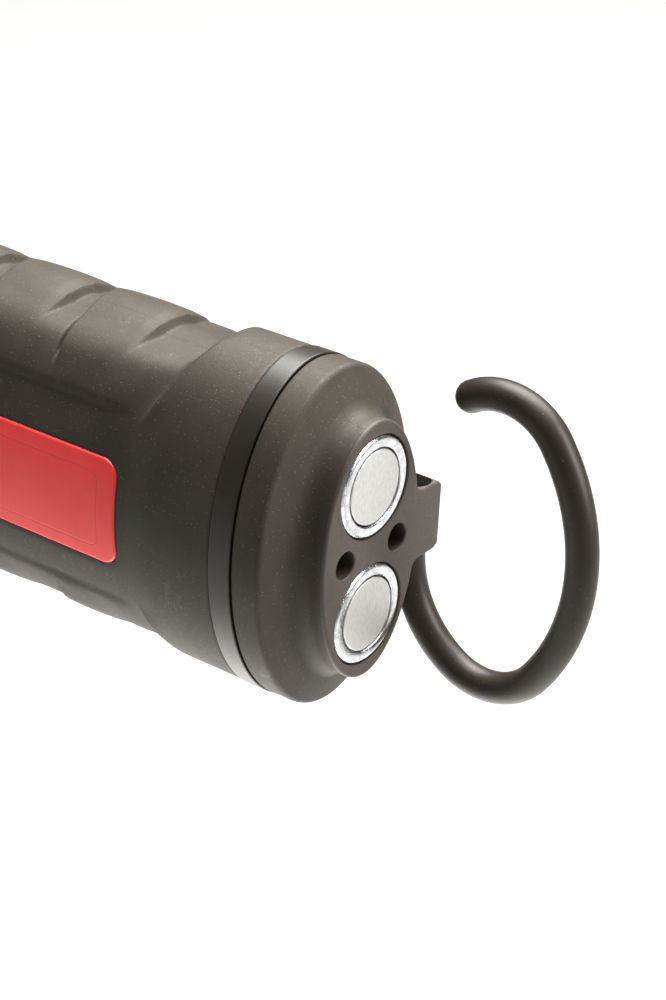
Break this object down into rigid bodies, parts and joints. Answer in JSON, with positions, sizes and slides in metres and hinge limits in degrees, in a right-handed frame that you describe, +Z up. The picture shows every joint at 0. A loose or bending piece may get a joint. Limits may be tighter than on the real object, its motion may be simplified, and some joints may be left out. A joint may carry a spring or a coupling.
{
  "type": "magnetic work light",
  "caption": "Oval cordless LED work light with a rubber finger grip, a magnetic tail and a swinging wire hook.",
  "frame": {"origin": "centre of the magnet face at the tail", "axes": "+X out of the magnet face, so the handle and head run towards -X; -Y the lens and label side, +Y the hook side; +Z up the tall axis of the oval section"},
  "size_m": [0.3659, 0.0376, 0.0558],
  "materials": {
    "soft_black_rubber": "fine textured overmoulded rubber",
    "hard_black_plastic": "fine spark-eroded texture",
    "gloss_black_plastic": "smooth semi-gloss",
    "red_label": "gloss domed label, blank",
    "zinc_steel": "bright zinc-plated steel",
    "nickel_magnet": "satin nickel plating",
    "screw_steel": "black oxide",
    "hook_vinyl": "dipped vinyl, satin",
    "hook_steel": "drawn spring wire",
    "clear_lens": "clear polycarbonate",
    "white_reflector": "bright white tray",
    "led_board_white": "white solder mask on aluminium",
    "led_phosphor": "yellow phosphor domes",
    "spreader_aluminium": "plain milled bar",
    "board_green": "green solder mask",
    "cell_wrap": "heat-shrink wrap",
    "nickel_strip": "spot-welded strip",
    "cradle_plastic": "natural nylon",
    "lead_red": "PVC insulation",
    "button_rubber": "moulded red rubber",
    "socket_plastic": "moulded black",
    "socket_contact": "plated contact"
  },
  "bodies": {
    "light": {"magnet_carrier": "hard_black_plastic", "upper_magnet_cup": "zinc_steel", "lower_magnet_cup": "zinc_steel", "upper_magnet": "nickel_magnet", "lower_magnet": "nickel_magnet", "tail_boot": "soft_black_rubber", "tail_trim_ring": "gloss_black_plastic", "tail_screws": "screw_steel", "front_handle_shell": "hard_black_plastic", "back_handle_shell": "hard_black_plastic", "shell_screws": "screw_steel", "grip_sleeve": "soft_black_rubber", "label_panel": "red_label", "upper_battery_cell": "cell_wrap", "lower_battery_cell": "cell_wrap", "battery_cradle": "cradle_plastic", "cell_links": "nickel_strip", "charge_board": "board_green", "switch_board": "board_green", "button_switch": "socket_plastic", "charge_socket": "socket_plastic", "socket_pin": "socket_contact", "cover_pin": "hook_steel", "battery_leads": "lead_red", "led_leads": "lead_red", "neck_trim_ring": "gloss_black_plastic", "head_housing": "hard_black_plastic", "lens": "clear_lens", "lens_gasket": "soft_black_rubber", "reflector": "white_reflector", "led_board": "led_board_white", "leds": "led_phosphor", "heat_spreader": "spreader_aluminium", "nose_cap": "soft_black_rubber", "nose_screws": "screw_steel"},
    "hook": {"hook_wire": "hook_steel", "hook_coat": "hook_vinyl", "hook_retainer": "hook_steel"},
    "button": {"power_button": "button_rubber"},
    "cover": {"charge_cover": "soft_black_rubber"}
  },
  "joints": [
    {"name": "hook_swing", "type": "hinge", "parent": "light", "child": "hook", "pos_m": [-0.00307, 0.01425, 0], "axis": [0, 0, 1], "range_deg": [-12, 95]},
    {"name": "power_button_press", "type": "slide", "parent": "light", "child": "button", "axis": [0, 1, 0], "range_m": [0, 0.001], "stiffness_N_per_m": 800},
    {"name": "charge_cover_flap", "type": "hinge", "parent": "light", "child": "cover", "pos_m": [-0.13785, 0.0163, 0], "axis": [0, 0, 1], "range_deg": [0, 95]}
  ]
}
